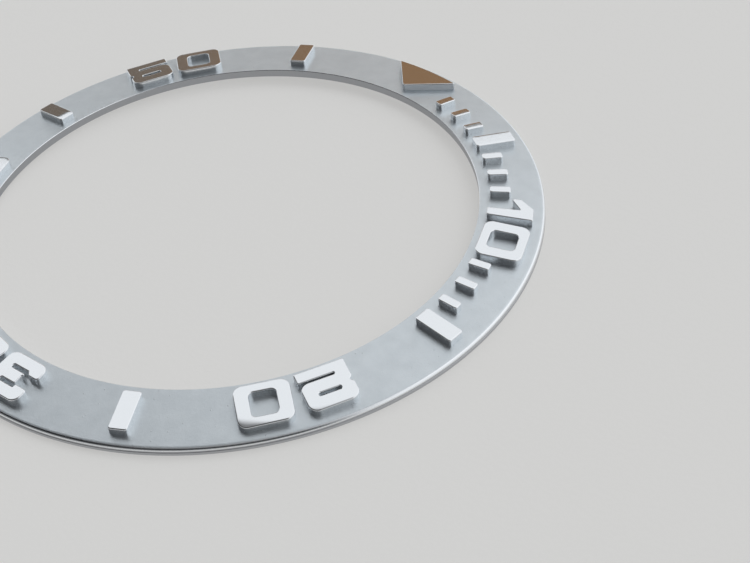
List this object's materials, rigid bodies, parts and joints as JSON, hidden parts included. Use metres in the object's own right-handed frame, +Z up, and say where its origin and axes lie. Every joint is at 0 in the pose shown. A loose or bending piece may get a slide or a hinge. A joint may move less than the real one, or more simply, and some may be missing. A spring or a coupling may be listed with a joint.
{
  "type": "watch bezel insert",
  "caption": "Dished steel ring for a diver's watch bezel, bead-blasted, with a raised polished minute scale of numerals, bars, ticks and a triangle.",
  "frame": {"origin": "centre of the ring, on the plane that its foot rests on", "axes": "+Z up through the markers along the ring's axis, +Y towards the triangle at minute 0, +X towards minute 15"},
  "size_m": [0.038, 0.038, 0.0013],
  "materials": {
    "blasted_steel": "fine bead-blasted, matte, with a polished bevel round the rim",
    "polished_steel": "polished tops, finely machined sides"
  },
  "bodies": {
    "root": {"insert_ring": "blasted_steel", "triangle_marker": "polished_steel", "tick_02": "polished_steel", "tick_03": "polished_steel", "tick_04": "polished_steel", "tick_06": "polished_steel", "tick_07": "polished_steel", "tick_08": "polished_steel", "tick_12": "polished_steel", "tick_13": "polished_steel", "tick_14": "polished_steel", "bar_05": "polished_steel", "bar_15": "polished_steel", "bar_25": "polished_steel", "bar_35": "polished_steel", "bar_45": "polished_steel", "bar_55": "polished_steel", "numeral_10_one": "polished_steel", "numeral_10_zero": "polished_steel", "numeral_20_two": "polished_steel", "numeral_20_zero": "polished_steel", "numeral_30_three": "polished_steel", "numeral_30_zero": "polished_steel", "numeral_40_four": "polished_steel", "numeral_40_zero": "polished_steel", "numeral_50_five": "polished_steel", "numeral_50_zero": "polished_steel"}
  },
  "joints": []
}
